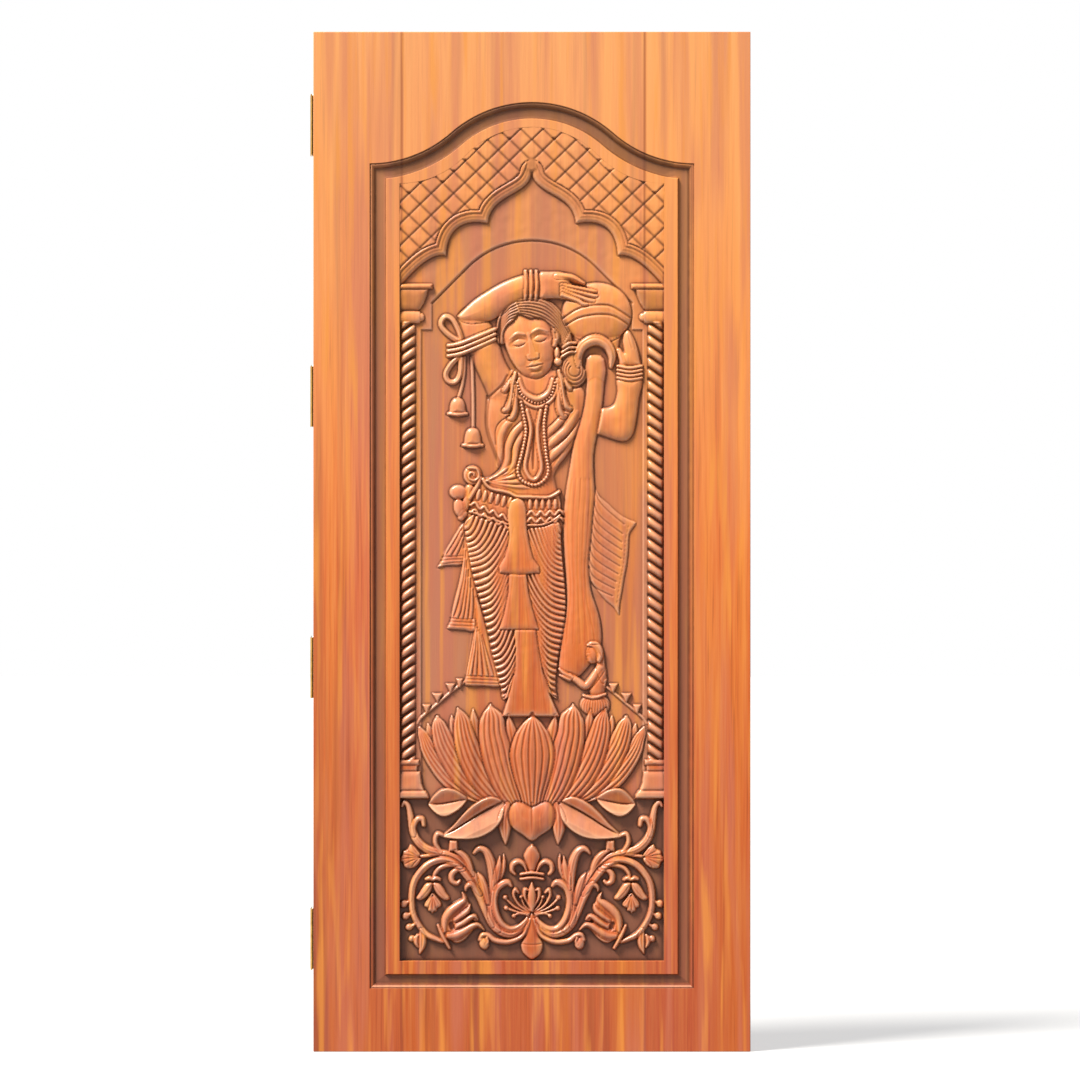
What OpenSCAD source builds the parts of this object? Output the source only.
// Carved door leaf of three glued boards, hung on butt hinges at its left edge.
// The front faces -Y, the foot stands at Z = 0 and X = 0 is the middle of the leaf.

/* [Leaf] */
// Width of the leaf
leaf_w = 900; // [860:5:1000]
// Height of the leaf
leaf_h = 2100; // [1950:10:2250]
// Thickness of the leaf
leaf_t = 45; // [40:1:55]
// Width of the left board
left_board_w = 182; // [175:1:195]
// Width of the right board
right_board_w = 218; // [200:1:230]
// Thickness of the tongues on the centre board
tongue_t = 12; // [8:1:14]
// Depth of the tongues
tongue_d = 10; // [6:1:14]
// Thickness of the glue line between two boards
glue_gap = 0.2; // [0.1:0.05:0.3]

/* [Panel] */
// Plain wood between the leaf's edge and the moulding
side_margin = 116; // [100:1:130]
// Plain wood under the moulding
foot_margin = 130; // [110:1:160]
// Plain wood above the top of the arch
top_margin = 145; // [120:1:170]
// Rise of the arch above its shoulders
arch_rise = 126; // [100:1:150]
// Width of the sloped moulding
moulding_w = 14; // [10:1:18]
// Width of the sunk flat inside the moulding
sunk_w = 17; // [12:1:22]
// Depth of the sunk flat
sunk_depth = 8; // [6:0.5:10]
// Width of the border at the sides of the carving
border_w = 31; // [24:1:36]
// Width of the border under the carving
border_foot_w = 26; // [20:1:32]
// Width of the border above the top of the carving
border_top_w = 21; // [16:1:28]
// Depth of the border's face below the leaf's face
border_drop = 1.5; // [1:0.5:3]
// Depth of the carving's ground below the leaf's face
carve_depth = 16; // [12:1:20]

/* [Hinges] */
// Height of a hinge
hinge_len = 125; // [110:1:150]
// Width of a hinge flap without its knuckle
flap_w = 34; // [30:1:38]
// Thickness of a hinge flap
flap_t = 3; // [2.5:0.5:4]
// Outside diameter of the knuckles
knuckle_d = 14; // [13:0.5:18]
// Diameter of the hinge pins
pin_d = 8; // [6:0.5:9]
// Gap between the leaf's edge and the jamb
edge_gap = 3; // [2:0.5:4]
// Room between the knuckles and the leaf's back
knuckle_stand = 1; // [0.5:0.5:3]
// Distance from the leaf's top to the middle of the top hinge
hinge_top = 190; // [150:5:260]
// Distance from the leaf's foot to the middle of the bottom hinge
hinge_foot = 230; // [180:5:300]
// Shank diameter of the screws
screw_d = 5; // [4:0.5:6]
// Length of the screws
screw_l = 40; // [30:1:50]
// Distance between the two screws across a flap
screw_span_y = 16; // [14:1:18]
// Distance between the two screws along a flap
screw_span_z = 90; // [70:1:95]

/* [Hidden] */
HINGES = [1, 2, 3, 4];
HINGE_PIECES = ["leaf_flap", "jamb_flap", "pin"];

// Clearances
pin_gap = 0.05;
run_gap = 0.4;
seat_gap = 0.05;
screw_gap = 0.25;
over = 1;
clip_over = 0.5;

// Planes of the leaf
front_y = -leaf_t / 2;
back_y = leaf_t / 2;
ground_y = front_y + carve_depth;
left_x = -leaf_w / 2;
left_joint_x = left_x + left_board_w;
right_joint_x = leaf_w / 2 - right_board_w;
tongue_y = (ground_y + back_y) / 2;

// Outline of the moulding and of the carved field inside it
panel_half_w = leaf_w / 2 - side_margin;
panel_top = leaf_h - top_margin;
frame_w = moulding_w + sunk_w;
field_half_w = panel_half_w - frame_w - border_w;
field_foot = foot_margin + frame_w + border_foot_w;
field_top = panel_top - frame_w - border_top_w;
field_rise = arch_rise - border_w + border_top_w;
arc_steps = 7;

// Size at which the carving is drawn, before it is fitted to the field
art_half_w = 272;
art_edge = art_half_w + 2;
art_foot = 187;
art_top = 1903;
art_depth = 16;
art_fit = [field_half_w / art_half_w, (field_top - field_foot) / (art_top - art_foot),
    carve_depth / art_depth];

// Levels of the carving above its deepest ground
sink = 1;
niche_h = 1.5;
step_h = 4;
lattice_h = 13.5;
groove_depth = 3;
bead_h = 13;
band_h = 11;

// Places in the carving
scroll_top = 520;
foil_foot = 1580;
foil_tip = 1805;
bead_w = 7;
band_w = 16;
lattice_u = 23;
lattice_v = 22.3;
lattice_middle = 1878;
niche_side = 228;
niche_neck = 206;
niche_neck_foot = 1487;
niche_top = 1671;
niche_r = 187;
niche_steps = 6;
shaft_u = 256;
shaft_r = 16;
shaft_foot = 600;
shaft_top = 1500;
rope_pitch = 26.8;
rope_rise = 22;
rope_relief = 3.5;
folds = 14;
fold_relief = 3;

// Hinge places
axis_x = left_x - edge_gap / 2;
axis_y = back_y + knuckle_stand + knuckle_d / 2;
flap_back_y = axis_y - knuckle_d / 2 - run_gap;
flap_mid_y = flap_back_y - flap_w / 2;
knuckles = 5;
knuckle_len = (hinge_len - (knuckles - 1) * run_gap) / knuckles;
pin_head_h = 3;
pin_head_d = knuckle_d - 2;
head_d = screw_d * 1.9;
head_h = (head_d - screw_d) / 2;
slot_w = 1;
slot_h = 1;
function hinge_z(i) = hinge_foot + (i - 1) * (leaf_h - hinge_top - hinge_foot) / (len(HINGES) - 1);

wood = [0.80, 0.51, 0.29];
brass = [0.78, 0.62, 0.30];
steel = [0.70, 0.70, 0.68];

// Cross sections of a ridge: share of the half width, share of the height, -1 for its foot
ROUND = [[1, -1], [0.85, 0.65], [0, 1], [-0.85, 0.65], [-1, -1]];
SOFT = [[1, -1], [0.5, 1], [-0.5, 1], [-1, -1]];
ROOF = [[1, -1], [0, 1], [-1, -1]];

// Point at t on the smooth curve through the points p
function along(p, t) =
    let (i = min(floor(t), len(p) - 2), f = t - i)
    let (a = p[max(i - 1, 0)], b = p[i], c = p[i + 1], d = p[min(i + 2, len(p) - 1)])
    (2 * b + (c - a) * f + (2 * a - 5 * b + 4 * c - d) * f * f + (3 * b - a - 3 * c + d) * f * f * f) / 2;

// Direction of the curve at t
function heading(p, t) =
    let (e = 0.02, a = along(p, max(t - e, 0)), b = along(p, min(t + e, len(p) - 1)))
    let (d = [b[0] - a[0], b[1] - a[1]])
    d / norm(d);

// One cross section of a ridge at t; each point of p is [u, v, half width, height]
function section(p, t, shape) =
    let (c = along(p, t), d = heading(p, t), w = max(c[2], 0.5), h = max(c[3], 0.5))
    [for (s = shape) [c[0] - d[1] * w * s[0], c[1] + d[0] * w * s[0], s[1] < 0 ? -sink : h * s[1]]];

// Cubic curve from a to d, led by b and c
function lobe(a, b, c, d, steps = 4) =
    [for (i = [0:steps - 1]) let (t = i / steps, s = 1 - t)
        s * s * s * a + 3 * s * s * t * b + 3 * s * t * t * c + t * t * t * d];

function flipped(p) = [for (i = [len(p) - 1:-1:0]) [-p[i][0], p[i][1]]];

// Straight path as points with the same half width and height
function bar(a, b, w, h) = [[a[0], a[1], w, h], [b[0], b[1], w, h]];

// Half of a domed arch in two equal arcs, from its shoulder to its top
function ogee(half_w, shoulder, rise) =
    let (run = half_w / 2, up = rise / 2, r = (run * run + up * up) / (2 * up), turn = asin(run / r))
    concat(
        [for (i = [0:arc_steps]) let (a = turn * i / arc_steps)
            [half_w - r * sin(a), shoulder + r - r * cos(a)]],
        [for (i = [1:arc_steps]) let (a = turn * (1 - i / arc_steps))
            [r * sin(a), shoulder + rise - r + r * cos(a)]]
    );

// Closed outline of an arched panel
function arched(half_w, foot, top, rise) =
    let (right = ogee(half_w, top - rise, rise), n = len(right))
    concat([[-half_w, foot], [half_w, foot]], right, [for (i = [n - 2:-1:0]) [-right[i][0], right[i][1]]]);

// Outline moved inwards by d at the point i
function inset_point(p, i, d) =
    let (n = len(p), a = p[(i + n - 1) % n], b = p[i], c = p[(i + 1) % n])
    let (e = (b - a) / norm(b - a), f = (c - b) / norm(c - b))
    let (m = [-e[1] - f[1], e[0] + f[0]])
    b + m * 2 * d / (m * m);

// A smooth ridge along a path
module swell(path, steps = 6, shape = ROUND) {
    last = len(path) - 1;
    m = len(shape);
    rings = [for (i = [0:steps]) section(path, last * i / steps, shape)];
    sides = [for (i = [0:steps - 1]) for (j = [0:m - 1]) let (k = (j + 1) % m)
        [i * m + k, i * m + j, (i + 1) * m + j, (i + 1) * m + k]];
    start = [for (j = [0:m - 1]) j];
    end = [for (j = [m - 1:-1:0]) steps * m + j];
    polyhedron([for (r = rings) each r], concat([start], sides, [end]));
}

// Two triangles for a cell of four points, split along its lower diagonal
function halves(q, p) =
    p[q[0]][2] + p[q[2]][2] < p[q[1]][2] + p[q[3]][2]
        ? [[q[0], q[1], q[2]], [q[0], q[2], q[3]]]
        : [[q[0], q[1], q[3]], [q[1], q[2], q[3]]];

function turned(face) = [for (i = [len(face) - 1:-1:0]) face[i]];

// A pleated surface; each line is a list of points [u, v, height], ridges and hollows in turn
module pleats(lines) {
    n = len(lines);
    m = len(lines[0]);
    top = [for (l = lines) each l];
    side = cross([for (k = [0, 1]) top[1][k] - top[0][k]], [for (k = [0, 1]) top[m][k] - top[0][k]]);
    rim = concat([for (j = [0:m - 1]) j], [for (i = [1:n - 1]) i * m + m - 1],
        [for (j = [m - 2:-1:0]) (n - 1) * m + j], [for (i = [n - 2:-1:1]) i * m]);
    r = len(rim);
    feet = [for (k = rim) [top[k][0], top[k][1], -sink]];
    cells = [for (i = [0:n - 2]) for (j = [0:m - 2])
        each halves([i * m + j, (i + 1) * m + j, (i + 1) * m + j + 1, i * m + j + 1], top)];
    walls = [for (k = [0:r - 1]) let (s = (k + 1) % r) [rim[k], rim[s], n * m + s, n * m + k]];
    faces = concat(cells, walls, [[for (k = [0:r - 1]) n * m + k]]);
    polyhedron(concat(top, feet), side > 0 ? faces : [for (f = faces) turned(f)]);
}

// Lines of a fan of pleats between a curve of start points and a curve of end points
function fan(starts, ends, count, start_h, end_h, relief_h) =
    [for (k = [0:2 * count]) let (f = k / (2 * count), lift = relief_h * (k % 2 - 0.5))
        [concat(along(starts, (len(starts) - 1) * f), [start_h + lift]),
            concat(along(ends, (len(ends) - 1) * f), [end_h + lift])]];

// A flat raised shape
module plate(outline, h) {
    translate([0, 0, -sink]) linear_extrude(h + sink) polygon(outline);
}

// A flat raised rectangle
module block(u, v, h) {
    translate([u[0], v[0], -sink]) cube([u[1] - u[0], v[1] - v[0], h + sink]);
}

// A low dome
module dome(place, half, h, facets = 14) {
    translate([place[0], place[1], 0]) scale([half[0], half[1], h]) sphere(1, $fn = facets);
}

// The shape and its mirror image
module both_sides() {
    children();
    mirror([1, 0, 0]) children();
}

// Lattice and arch

module foil_opening() {
    left = concat(
        lobe([0, foil_tip], [-10, 1762], [-88, 1770], [-91, 1706]),
        lobe([-91, 1706], [-140, 1718], [-176, 1695], [-177, 1640]),
        lobe([-177, 1640], [-205, 1648], [-245, 1612], [-262, foil_foot]),
        [[-262, foil_foot], [-262, art_foot]]
    );
    polygon(concat(left, flipped(left)));
}

module above_columns() {
    translate([-art_edge, foil_foot]) square([2 * art_edge, art_top + over - foil_foot]);
}

module foil_ring(from, to, h) {
    translate([0, 0, -sink]) linear_extrude(h + sink) intersection() {
        difference() {
            offset(delta = to) foil_opening();
            offset(delta = from) foil_opening();
        }
        above_columns();
    }
}

module foil_arch() {
    foil_ring(0, band_w + over, band_h);
    foil_ring(band_w, band_w + bead_w, bead_h);
}

// Diamonds in low relief between grooves that cross
module lattice() {
    across = ceil(art_edge / lattice_u);
    below = ceil((lattice_middle - foil_foot) / lattice_v);
    above = ceil((art_top - lattice_middle) / lattice_v);
    intersection() {
        translate([0, 0, -sink]) linear_extrude(art_depth) difference() {
            above_columns();
            offset(delta = band_w + bead_w - over) foil_opening();
        }
        pleats([for (j = [-below:above]) [for (i = [-across:across])
            let (h = (i + j) % 2 == 0 ? lattice_h - groove_depth : lattice_h)
            [i * lattice_u, lattice_middle + j * lattice_v, h]]]);
    }
}

// Ground of the niche, sunk below the step around it

module niche_shape() {
    turn = 45;
    arc = [for (i = [0:niche_steps]) let (a = turn * i / niche_steps)
        [-niche_r * sin(a), niche_top - niche_r + niche_r * cos(a)]];
    leg = niche_neck - niche_r * sin(turn);
    neck_top = niche_top - niche_r + niche_r * cos(turn) - leg;
    left = concat(arc, [[-niche_neck, neck_top], [-niche_neck, niche_neck_foot],
        [-niche_side, niche_neck_foot],
        [-niche_side, scroll_top - over]]);
    polygon(concat(left, flipped(left)));
}

module grounds() {
    top = foil_tip + band_w;
    block([-art_edge, art_edge], [scroll_top, top], niche_h);
    translate([0, 0, -sink]) linear_extrude(step_h + sink) difference() {
        translate([-art_edge, scroll_top]) square([2 * art_edge, top - scroll_top]);
        niche_shape();
    }
}

// Rope column on the left

module column() {
    inner = shaft_u - shaft_r;
    halves = floor(2 * (shaft_top - shaft_foot) / rope_pitch);
    pleats([for (k = [0:halves]) let (v = shaft_foot + k * rope_pitch / 2, lift = k % 2 * rope_relief)
        [[-art_edge, v - rope_rise / 2, 4 + lift], [-shaft_u, v - rope_rise * 0.1, 10 + lift],
            [-inner, v + rope_rise / 2, 3 + lift]]]);
    block([-art_edge, -205], [1570, foil_foot + over], 13);
    plate([[-art_edge, 1524], [-236, 1524], [-226, 1535], [-218, 1555], [-213, 1571],
        [-art_edge, 1571]], 11);
    swell([[-art_edge, 1512, 13, 12], [-236, 1512, 13, 12], [-223, 1512, 6, 7]], 2);
    block([-art_edge, -232], [589, shaft_foot], 12);
    block([-art_edge, -237], [575, 590], 10);
    block([-art_edge, -226], [535, 576], 11.5);
    block([-art_edge, -213], [scroll_top - over, 536], 13);
}

// Figure that pours from a pot

module raised_arm() {
    swell([[-70, 1355, 32, 9], [-88, 1395, 34, 10], [-108, 1440, 36, 10.5], [-128, 1485, 27, 10],
        [-143, 1510, 10, 8]], 4);
    swell([[-146, 1512, 12, 9], [-112, 1527, 27, 11], [-66, 1553, 33, 12], [-20, 1574, 27, 12],
        [16, 1577, 24, 12]], 4);
    swell([[14, 1577, 24, 11], [40, 1579, 27, 12], [64, 1576, 25, 12], [84, 1570, 20, 11],
        [100, 1564, 16, 10]], 4);
    swell([[50, 1592, 10, 12], [80, 1594, 8, 13], [106, 1583, 4, 13]], 3, SOFT);
    for (i = [0:3])
        swell([[76, 1576 - 7 * i, 5, 12.5], [104, 1566 - 8 * i, 5, 14],
            [130 - 5 * i, 1562 - 8 * i, 4, 13.5]], 2, ROOF);
    for (u = [-12, -2, 8])
        swell(bar([u, 1552], [u, 1606], 4, 14), 1, ROOF);
}

module armlet() {
    for (v = [0, 10, 20])
        swell([[-171, 1436 + v, 5, 11], [-145, 1439 + v, 5, 13], [-110, 1453 + v, 5, 13],
            [-78, 1467 + v, 4, 11]], 3, ROOF);
    swell([[-150, 1466, 6, 9], [-178, 1480, 7, 9], [-186, 1500, 7, 9], [-172, 1512, 7, 9],
        [-154, 1494, 6, 9], [-144, 1470, 5, 9]], 5, ROOF);
    swell([[-152, 1430, 5, 8], [-170, 1412, 6, 8], [-176, 1392, 7, 8], [-162, 1380, 7, 8],
        [-148, 1394, 6, 8], [-146, 1424, 5, 8]], 5, ROOF);
    swell([[-139, 1426, 4, 7], [-140, 1396, 4, 7], [-151, 1344, 4, 7]], 2, ROOF);
    swell([[-126, 1428, 5, 7], [-122, 1370, 5, 7], [-122, 1280, 5, 7]], 2, ROOF);
    bell([-152, 1311], 1);
    bell([-122, 1246], 1.06);
}

module bell(foot, size) {
    translate([foot[0], foot[1], 0]) scale([size, size, 1])
        swell([[0, 0, 20, 8], [0, 4, 19, 9], [0, 14, 16, 10], [0, 28, 12, 9], [0, 35, 3, 7]], 4, SOFT);
}

module head() {
    translate([-4, 1462, 0]) rotate([0, 0, 4]) {
        dome([0, 0], [58, 84], 13, 14);
        both_sides() swell([[10, -2, 2, 12.5], [22, -4, 4, 13.5], [34, -2, 2, 12]], 3, ROOF);
        swell([[0, 4, 4, 13], [0, -24, 5, 15], [0, -38, 9, 15], [0, -42, 7, 13]], 3, SOFT);
        swell([[-16, -55, 2, 12.5], [0, -57, 5, 14], [16, -55, 2, 12.5]], 4, ROOF);
        swell([[-60, 16, 9, 11], [-56, 50, 17, 13], [-26, 78, 20, 14], [14, 82, 20, 14], [48, 58, 20, 14],
            [70, 22, 17, 12], [80, -4, 14, 11]], 7, SOFT);
    }
    dome([90, 1412], [32, 42], 11, 10);
    swell(bar([56, 1446], [82, 1460], 11, 13), 1, SOFT);
    swell([[46, 1478, 9, 12], [47, 1460, 8, 12], [50, 1430, 9, 12], [52, 1420, 6, 11]], 3, SOFT);
}

module pot() {
    dome([134, 1521], [72, 63], 14, 14);
    swell([[134, 1500, 62, 11], [136, 1475, 48, 11], [136, 1455, 42, 10]], 2, SOFT);
    swell([[98, 1432, 9, 14], [103, 1452, 9, 14], [131, 1464, 10, 15], [158, 1452, 9, 14],
        [160, 1426, 7, 13]], 6, SOFT);
}

module stream() {
    swell([[131, 1450, 19, 8], [130, 1380, 18, 9], [120, 1310, 19, 9.5], [104, 1240, 23, 9.5],
        [99, 1160, 30, 9.5],
        [94, 1080, 29, 9.5], [94, 1000, 25, 9.5], [101, 920, 33, 9.5], [102, 860, 40, 9.5],
            [92, 810, 34, 9],
        [84, 775, 26, 8]], 10, SOFT);
}

module far_arm() {
    swell([[202, 1386, 24, 10], [192, 1340, 26, 10], [186, 1300, 28, 10], [192, 1268, 22, 9],
        [194, 1254, 6, 7]], 4);
    swell([[196, 1288, 22, 9], [160, 1298, 26, 9], [120, 1315, 28, 8]], 2);
    swell([[203, 1405, 20, 10], [204, 1435, 20, 11], [200, 1462, 14, 10], [194, 1480, 4, 8]], 3);
    swell([[188, 1414, 6, 10], [180, 1432, 5, 10], [176, 1444, 3, 9]], 2, ROOF);
    for (v = [1386:8.5:1412])
        swell(bar([178, v], [226, v], 4, 12.5), 1, ROOF);
}

module torso() {
    swell([[10, 1395, 44, 6], [8, 1355, 92, 8], [6, 1305, 97, 9], [2, 1255, 84, 9], [-3, 1215, 64, 8.5],
        [-6, 1188, 54, 8], [-24, 1160, 76, 8.5], [-38, 1120, 93, 9], [-38, 1088, 95, 9]], 8);
    swell([[-76, 1356, 16, 8], [-58, 1312, 40, 10.5], [-40, 1262, 18, 9]], 3, SOFT);
    swell([[84, 1350, 14, 8], [62, 1304, 40, 10.5], [44, 1254, 18, 9]], 3, SOFT);
    for (k = [0, 1])
        swell([[-98, 1177, 3, 9], [-70, 1190 - 12 * k, 4, 10.5], [-44 + 6 * k, 1214 - 26 * k, 5, 11],
            [-24 + 6 * k, 1262 - 44 * k, 4, 10]], 3, ROOF);
    for (k = [0, 1])
        swell([[60 + 12 * k, 1310, 4, 10], [50 + 12 * k, 1270, 5, 11.5],
            [36 + 6 * k, 1232 - 8 * k, 4, 10]], 2, ROOF);
}

module jewels() {
    swell([[-22, 1378, 4, 11], [-14, 1356, 5, 12], [10, 1342, 5, 12.5], [34, 1354, 5, 12],
        [42, 1384, 4, 11]], 6, ROOF);
    swell([[-26, 1352, 3, 10], [-8, 1332, 4, 11], [12, 1327, 4, 11], [34, 1336, 4, 11],
        [48, 1356, 3, 10]], 4, ROOF);
    swell([[-22, 1334, 4, 11], [-13, 1290, 4, 13], [-22, 1230, 4, 13], [-27, 1190, 5, 13], [4, 1167, 5, 13],
        [33, 1192, 5, 13], [29, 1240, 4, 13], [25, 1290, 4, 13], [30, 1328, 4, 11]], 10, ROOF);
}

module belt() {
    swell([[-100, 1178, 3, 11], [-84, 1160, 4, 12], [-50, 1152, 4, 12.5], [-20, 1141, 4, 12.5],
        [24, 1140, 4, 12.5],
        [54, 1152, 3, 11]], 6, ROOF);
    for (row = [0, 1]) {
        swell([[-124, 1136 - 15 * row, 3, 12], [-80, 1116 - 15 * row, 4, 12],
            [-44, 1100 - 12 * row, 3, 12]], 3, ROOF);
        swell([[-10, 1112 - 15 * row, 3, 12], [26, 1112 - 15 * row, 4, 12],
            [58, 1120 - 12 * row, 3, 12]], 3, ROOF);
    }
}

module waist_bow() {
    swell([[-122, 1178, 4, 12], [-116, 1190, 5, 12], [-126, 1198, 6, 12], [-136, 1184, 7, 12],
        [-128, 1166, 6, 11],
        [-132, 1130, 5, 10], [-136, 1108, 3, 8]], 8, ROOF);
    dome([-152, 1151], [18, 15], 11, 8);
    dome([-149, 1118], [12, 20], 10, 8);
}

// Where the folds start and where they end, from the belt down
left_fold_starts = [[-128, 1108], [-100, 1098], [-70, 1088], [-46, 1078], [-45, 1035], [-54, 1000],
    [-46, 960],
    [-50, 910], [-54, 872], [-34, 840], [-30, 800], [-34, 765], [-46, 735]];
left_fold_ends = [[-136, 1096], [-136, 1070], [-131, 1035], [-125, 1000], [-117, 965], [-108, 935],
    [-100, 905],
    [-93, 875], [-86, 845], [-79, 810], [-72, 785], [-65, 755], [-58, 728]];
right_fold_starts = [[52, 1098], [40, 1088], [20, 1080], [-2, 1074], [-8, 1040], [0, 1003], [-9, 965],
    [-2, 915],
    [5, 875], [9, 835], [15, 800], [23, 760], [36, 722]];
right_fold_ends = [[59, 1092], [60, 1065], [62, 1035], [65, 1000], [68, 968], [70, 935], [69, 905],
    [65, 875],
    [60, 845], [54, 812], [50, 785], [49, 755], [50, 725]];

// Folds that drop from the belt and sweep round to the outside of the leg
module skirt_folds(starts, ends) {
    last = len(starts) - 1;
    pleats([for (k = [0:2 * folds]) let (t = last * k / (2 * folds), lift = fold_relief * (k % 2 - 0.5))
        let (a = along(starts, t), b = along(ends, t))
        let (bend = [a[0] * 0.75 + b[0] * 0.25, b[1] + (a[1] - b[1]) * 0.28])
        [concat(a, [9.5 + lift]), concat(bend, [10.5 + lift]), concat(b, [6.5 + lift])]]);
}

module skirt() {
    skirt_folds(left_fold_starts, left_fold_ends);
    skirt_folds(right_fold_starts, right_fold_ends);
}

module centre_sash() {
    plate([[-48, 1112], [-44, 1132], [-30, 1140], [-16, 1132], [-11, 1100], [-6, 1060], [2, 1015],
        [15, 987],
        [-66, 987], [-55, 1018], [-43, 1060]], 13);
    plate([[-47, 990], [-12, 990], [-7, 945], [0, 912], [13, 870], [-67, 870], [-56, 900],
        [-48, 945]], 12.5);
    plate([[-37, 875], [6, 875], [15, 820], [23, 780], [33, 740], [56, 690], [-60, 690], [-45, 745],
        [-34, 785],
        [-31, 820]], 12);
}

module side_sash() {
    pleats(fan([[-143, 1080], [-136, 1050]], [[-188, 1012], [-144, 1012]], 3, 6, 6, 2));
    block([-190, -143], [1000, 1014], 7);
    pleats(fan([[-142, 1076], [-132, 1076]], [[-168, 886], [-122, 886]], 3, 8, 7.5, 2));
    block([-172, -120], [867, 888], 9);
    pleats(fan([[-120, 950], [-108, 945]], [[-138, 770], [-74, 770]], 3, 9, 8.5, 2));
    block([-141, -70], [752, 772], 10);
}

module veil() {
    starts = [[124, 1172], [126, 1140], [120, 1080], [115, 1000], [120, 970]];
    ends = [[214, 1096], [203, 1066], [197, 1020], [189, 960], [178, 908]];
    pleats(fan(starts, ends, 7, 4.5, 4.5, 2));
}

module devotee() {
    dome([128, 819], [18, 25], 12, 8);
    swell([[142, 798, 8, 9], [140, 775, 13, 10], [130, 740, 16, 9]], 3, SOFT);
    swell([[140, 788, 9, 11], [124, 766, 9, 12], [108, 751, 8, 12], [92, 765, 7, 11], [76, 774, 6, 11],
        [57, 786, 3, 9]], 6, SOFT);
    swell([[128, 742, 20, 9], [128, 715, 27, 9], [128, 695, 30, 8]], 2);
}

module mound() {
    both_sides() {
        swell([[-228, 688, 3, 6], [-200, 712, 4, 6.5], [-165, 742, 4, 6.5], [-138, 762, 3, 5]], 3, ROOF);
        for (bud = [[-217, 715, 8], [-195, 738, 11], [-168, 758, 10], [-149, 768, 6]])
            hull() {
                block([bud[0] - bud[2], bud[0] + bud[2]], [bud[1] - 3, bud[1]], 9);
                block([bud[0] - 2, bud[0] + 2], [bud[1] - 20, bud[1] - 18], 4);
            }
    }
}

// Open flower that the figure stands on

module lotus() {
    both_sides() {
        swell([[-185, 610, 12, 6], [-205, 645, 10, 7], [-214, 669, 3, 6]], 2, ROOF);
        swell([[-140, 620, 12, 6], [-158, 660, 12, 7.5], [-168, 691, 3, 6.5]], 2, ROOF);
        swell([[-95, 620, 14, 7], [-112, 670, 13, 8], [-121, 709, 3, 7]], 2, ROOF);
        swell([[-30, 600, 15, 7], [-48, 650, 16, 8], [-52, 689, 3, 7]], 2, ROOF);
        swell([[-110, 520, 8, 5], [-160, 545, 15, 7], [-197, 582, 21, 8.5], [-219, 622, 17, 8.5],
            [-237, 664, 3, 6]], 4, SOFT);
        swell([[-90, 517, 10, 6], [-140, 553, 19, 8], [-172, 600, 25, 10], [-190, 645, 21, 10],
            [-203, 688, 3, 7]], 4, SOFT);
        swell([[-70, 515, 10, 7], [-110, 555, 21, 9], [-135, 610, 27, 11], [-147, 660, 23, 11],
            [-155, 707, 3, 8]], 4, SOFT);
        swell([[-45, 514, 12, 8], [-70, 560, 25, 10], [-84, 620, 30, 12], [-86, 670, 25, 12],
            [-88, 714, 3, 9]], 4, SOFT);
    }
    swell([[0, 507, 20, 9], [0, 560, 40, 12], [0, 620, 48, 13.5], [0, 660, 33, 13], [0, 692, 3, 10]], 4);
}

module sepals() {
    both_sides() {
        swell([[-130, 512, 6, 6], [-155, 512, 26, 8], [-180, 511, 29, 8.5], [-200, 507, 15, 8],
            [-213, 505, 2, 6]], 4, ROOF);
        swell([[-64, 504, 6, 8], [-95, 487, 30, 10], [-130, 466, 28, 10], [-160, 453, 15, 9],
            [-188, 446, 2, 6]], 4, ROOF);
        swell([[-54, 506, 6, 9], [-57, 480, 14, 11], [-60, 450, 13, 11], [-61, 423, 2, 8]], 3, SOFT);
        swell([[-4, 438, 6, 9], [-20, 460, 22, 11.5], [-26, 488, 22, 11.5], [-34, 514, 4, 9]], 3, SOFT);
    }
    swell(bar([0, 436], [0, 503], 8, 11.5), 1, SOFT);
}

// Left half of the scrolls under the flower

module scroll_stems() {
    swell([[-8, 276, 5, 9], [-38, 244, 6, 10], [-76, 252, 8, 10], [-97, 296, 9, 10.5], [-118, 350, 9, 11],
        [-150, 388, 7, 11], [-186, 397, 6, 11], [-228, 376, 6, 11], [-249, 330, 6, 11], [-244, 272, 6, 11],
        [-216, 240, 6, 11], [-186, 228, 4, 10]], 12, ROOF);
    swell([[-92, 300, 5, 9], [-112, 366, 7, 10], [-146, 405, 7, 10.5], [-190, 419, 7, 10.5],
        [-232, 440, 8, 10.5],
        [-250, 480, 7, 10], [-258, 512, 5, 9]], 6, ROOF);
    swell([[-6, 262, 4, 8], [-24, 232, 4, 9], [-56, 226, 4, 9], [-84, 234, 4, 9],
        [-100, 228, 7, 10]], 5, ROOF);
    swell([[-84, 262, 6, 8], [-83, 330, 7, 10], [-84, 390, 7, 10.5], [-98, 420, 6, 10],
        [-118, 412, 2, 8]], 5, ROOF);
    swell([[-20, 260, 4, 9], [-46, 253, 4, 10], [-70, 268, 4, 10], [-79, 310, 4, 10], [-66, 346, 5, 10],
        [-44, 344, 3, 9]], 6, ROOF);
    swell([[-244, 448, 5, 9], [-242, 468, 5, 10], [-230, 478, 6, 10], [-222, 464, 4, 9]], 4, ROOF);
    swell([[-206, 424, 4, 9], [-202, 444, 5, 9], [-184, 448, 3, 8]], 3, ROOF);
    swell([[-146, 378, 4, 9], [-168, 370, 5, 9], [-168, 352, 5, 9], [-148, 348, 3, 9]], 4, ROOF);
    swell([[-152, 384, 4, 9], [-184, 384, 5, 9], [-203, 358, 4, 9]], 3, ROOF);
}

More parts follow.
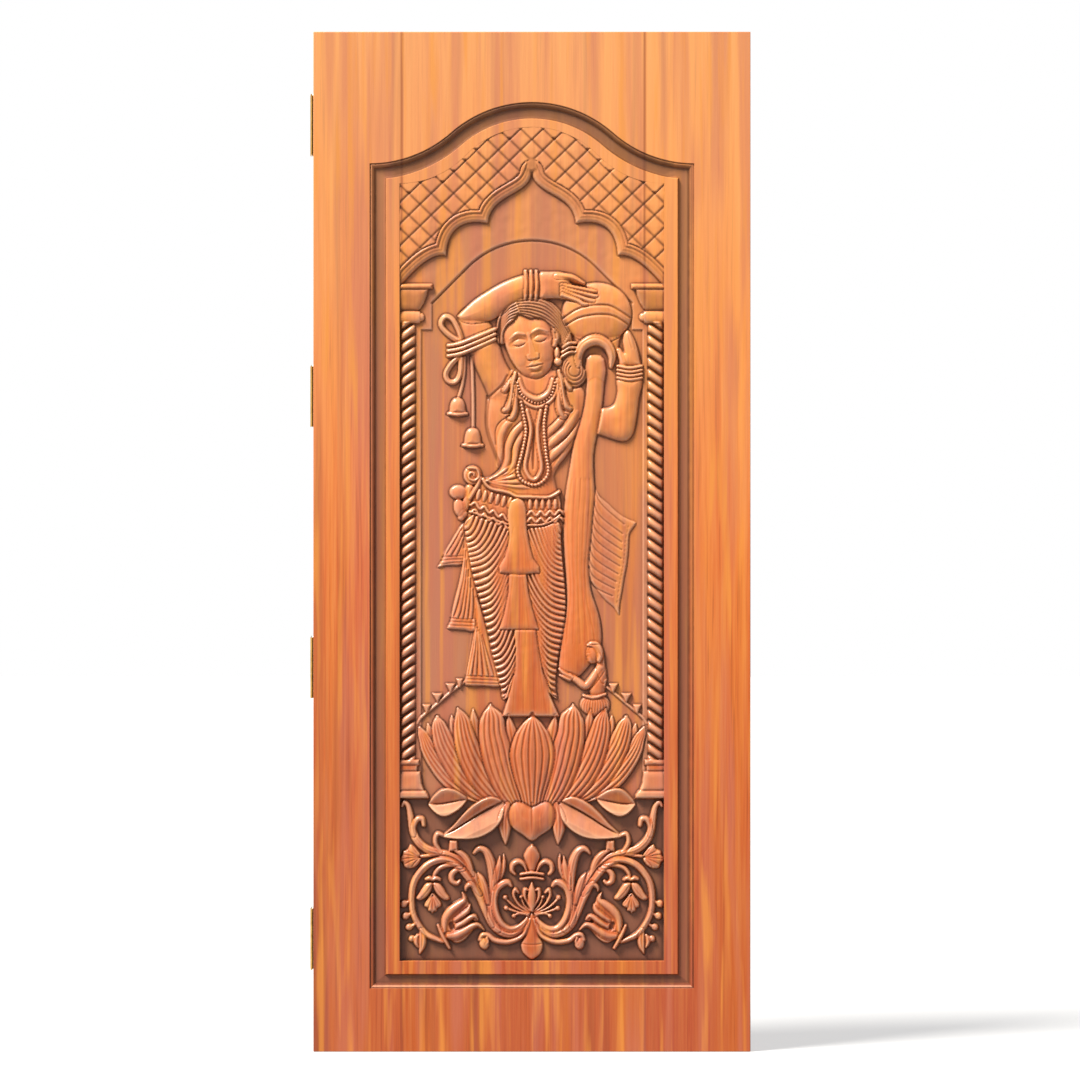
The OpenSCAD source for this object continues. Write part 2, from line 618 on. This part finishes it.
module scroll_leaves() {
    swell([[-224, 404, 6, 9], [-240, 404, 18, 10], [-256, 402, 17, 9], [-274, 400, 3, 7]], 3, ROOF);
    swell([[-74, 340, 3, 8], [-72, 370, 9, 10], [-66, 404, 2, 8]], 2, ROOF);
    swell([[-84, 300, 3, 8], [-92, 344, 8, 10], [-110, 364, 3, 8]], 2, ROOF);
    swell([[-234, 248, 3, 8], [-236, 224, 9, 9], [-228, 202, 2, 7]], 2, ROOF);
    block([-170, -153], [416, 436], 9);
    swell([[-186, 246, 12, 9], [-174, 278, 14, 11], [-152, 300, 9, 11], [-143, 328, 2, 9]], 3, ROOF);
    swell([[-172, 252, 8, 9], [-152, 276, 7, 11], [-132, 298, 2, 9]], 2, ROOF);
    swell([[-176, 240, 9, 9], [-146, 250, 8, 11], [-122, 276, 2, 9]], 2, ROOF);
    swell([[-172, 230, 8, 8], [-140, 240, 9, 10], [-112, 262, 5, 10], [-98, 250, 2, 8]], 4, ROOF);
    swell([[-196, 260, 3, 10], [-184, 238, 4, 12], [-170, 212, 4, 10]], 2, ROOF);
    swell([[-206, 352, 6, 9], [-222, 332, 11, 10], [-240, 312, 3, 8]], 2, ROOF);
    swell([[-200, 352, 6, 9], [-188, 332, 11, 10], [-170, 312, 3, 8]], 2, ROOF);
    swell([[-205, 340, 6, 9], [-206, 308, 14, 10.5], [-208, 282, 2, 8]], 2, ROOF);
    for (berry = [[-264, 305], [-263, 281], [-261, 258], [-254, 235]])
        translate([berry[0], berry[1], -sink]) cylinder(9, 8, 4, $fn = 6);
}

module scroll_tendrils() {
    for (tip = [[-30, 336], [-54, 318], [-52, 297]])
        swell([[-2, 287, 3, 8], [tip[0] * 0.6, tip[1] * 0.7 + 87, 3, 9], [tip[0], tip[1], 5, 9]], 2, ROOF);
    swell([[-6, 376, 4, 9], [-20, 392, 5, 10], [-36, 390, 5, 10], [-40, 374, 5, 9]], 4, ROOF);
}

module scroll_middle() {
    swell([[0, 362, 10, 9], [0, 390, 18, 11], [0, 410, 15, 11], [0, 427, 3, 9]], 4, SOFT);
    for (v = [356, 367])
        swell(bar([-22, v], [22, v], 4, 11), 1, ROOF);
    swell([[0, 288, 5, 9], [0, 318, 16, 11], [0, 347, 2, 9]], 3, SOFT);
    swell([[0, 278, 5, 8], [0, 246, 14, 9], [0, 226, 23, 10.5], [0, 208, 18, 10], [0, 192, 4, 8]], 5, SOFT);
}

// Everything that stands above the carving's ground, drawn flat
module relief() {
    grounds();
    lattice();
    foil_arch();
    both_sides() column();
    stream();
    veil();
    far_arm();
    side_sash();
    mound();
    torso();
    skirt();
    centre_sash();
    belt();
    waist_bow();
    raised_arm();
    armlet();
    pot();
    head();
    jewels();
    devotee();
    lotus();
    sepals();
    both_sides() {
        scroll_stems();
        scroll_leaves();
        scroll_tendrils();
    }
    scroll_middle();
}

// Leaf before it is cut into its boards

module upright(y) {
    translate([0, y, 0]) rotate([90, 0, 0]) children();
}

module field_prism(depth, grow = 0) {
    upright(front_y + depth) linear_extrude(depth) offset(delta = grow)
        polygon(arched(field_half_w, field_foot, field_top, field_rise));
}

// Ring that cuts the sloped moulding and the sunk flat
module moulding_cut() {
    outline = arched(panel_half_w, foot_margin, panel_top, arch_rise);
    profile = [[0, 0], [0, 2], [moulding_w * 0.25, 2.5], [moulding_w * 0.7, sunk_depth * 0.55],
        [moulding_w, sunk_depth], [frame_w, sunk_depth], [frame_w, -over], [0, -over]];
    n = len(outline);
    m = len(profile);
    points = [for (i = [0:n - 1]) for (q = profile)
        let (p = inset_point(outline, i, q[0])) [p[0], p[1], -q[1]]];
    faces = [for (i = [0:n - 1]) for (j = [0:m - 1]) let (k = (j + 1) % m, s = (i + 1) % n)
        [i * m + k, i * m + j, s * m + j, s * m + k]];
    upright(front_y) polyhedron(points, faces);
}

module border_cut() {
    upright(front_y + border_drop) linear_extrude(border_drop + over) offset(delta = -frame_w + over)
        polygon(arched(panel_half_w, foot_margin, panel_top, arch_rise));
}

module carved_leaf() {
    difference() {
        translate([left_x, front_y, 0]) cube([leaf_w, leaf_t, leaf_h]);
        moulding_cut();
        border_cut();
        translate([0, -over, 0]) field_prism(carve_depth + over);
    }
    intersection() {
        field_prism(carve_depth + 2 * over, clip_over);
        translate([0, ground_y, field_foot]) rotate([90, 0, 0]) scale(art_fit)
            translate([0, -art_foot, 0]) relief();
    }
}

module tongue(joint_x, side, gap) {
    translate([joint_x + side * (tongue_d / 2 - over), tongue_y])
        square([tongue_d + 2 * over + 2 * gap, tongue_t + 2 * gap], center = true);
}

module board(from_x, to_x) {
    intersection() {
        carved_leaf();
        translate([0, 0, -over]) linear_extrude(leaf_h + 2 * over) {
            difference() {
                translate([from_x, front_y - over]) square([to_x - from_x, leaf_t + 2 * over]);
                children(0);
            }
            children(1);
        }
    }
}

module hinge_mortises() {
    for (i = HINGES) {
        translate([left_x - over, flap_mid_y - flap_w / 2 - seat_gap, hinge_z(i) - hinge_len / 2 - seat_gap])
            cube([flap_t + seat_gap + over, leaf_t, hinge_len + 2 * seat_gap]);
        at_screws(i, left_x) cylinder(screw_l + over, d = screw_d + 3 * screw_gap, $fn = 12);
    }
}

module left_board() {
    color(wood) difference() {
        board(left_x - over, left_joint_x - glue_gap / 2) {
            tongue(left_joint_x, -1, glue_gap);
            union();
        }
        hinge_mortises();
    }
}

module centre_board() {
    color(wood) board(left_joint_x + glue_gap / 2, right_joint_x - glue_gap / 2) {
        union();
        union() {
            tongue(left_joint_x, -1, 0);
            tongue(right_joint_x, 1, 0);
        }
    }
}

module right_board() {
    color(wood) board(right_joint_x + glue_gap / 2, leaf_w / 2 + over) {
        tongue(right_joint_x, 1, glue_gap);
        union();
    }
}

// Hinges

// Places the child at each screw of hinge i on the plane x, pointing along +X
module at_screws(i, x) {
    for (y = [-1, 1]) for (z = [-1, 1])
        translate([x, flap_mid_y + y * screw_span_y / 2, hinge_z(i) + z * screw_span_z / 2])
            rotate([0, 90, 0]) children();
}

// Countersunk screw with its head's face at the origin
module screw_shape(gap, length) {
    cylinder(head_h + gap, r1 = head_d / 2 + gap, r2 = screw_d / 2);
    cylinder(length, r = screw_d / 2 + gap);
}

module knuckle(i, k) {
    z = hinge_z(i) - hinge_len / 2 + k * (knuckle_len + run_gap);
    translate([axis_x, axis_y, z]) cylinder(knuckle_len, d = knuckle_d);
}

// Flap with its plate from plate_x, the knuckles in the list, and screw heads facing the other flap
module flap(i, plate_x, own, face_x, toward) {
    foot = hinge_z(i) - hinge_len / 2;
    difference() {
        union() {
            translate([plate_x, flap_back_y - flap_w, foot]) cube([flap_t, flap_w, hinge_len]);
            for (k = own) {
                knuckle(i, k);
                translate([plate_x, flap_back_y - over, foot + k * (knuckle_len + run_gap)])
                    cube([flap_t, axis_y - flap_back_y + over, knuckle_len]);
            }
        }
        translate([axis_x, axis_y, foot - over]) cylinder(hinge_len + 2 * over, d = pin_d + 2 * pin_gap);
        at_screws(i, face_x) mirror([0, 0, toward]) screw_shape(screw_gap, flap_t + over);
    }
}

module hinge_leaf_flap(i) {
    color(brass) flap(i, left_x, [1, 3], left_x, 0);
}

module hinge_jamb_flap(i) {
    color(brass) flap(i, left_x - edge_gap - flap_t, [0, 2, 4], left_x - edge_gap, 1);
}

module hinge_pin(i) {
    top = hinge_z(i) + hinge_len / 2;
    color(steel) translate([axis_x, axis_y, 0]) {
        translate([0, 0, top - hinge_len]) cylinder(hinge_len + seat_gap + over, d = pin_d);
        translate([0, 0, top + seat_gap]) cylinder(pin_head_h, d1 = pin_head_d, d2 = pin_head_d - 2);
    }
}

module leaf_screws() {
    color(brass) for (i = HINGES)
        at_screws(i, left_x) difference() {
            screw_shape(0, screw_l);
            translate([0, 0, slot_h / 2 - over / 2])
                cube([head_d + over, slot_w, slot_h + over], center = true);
        }
}

left_board();
centre_board();
right_board();
leaf_screws();
for (i = HINGES) {
    hinge_leaf_flap(i);
    hinge_jamb_flap(i);
    hinge_pin(i);
}
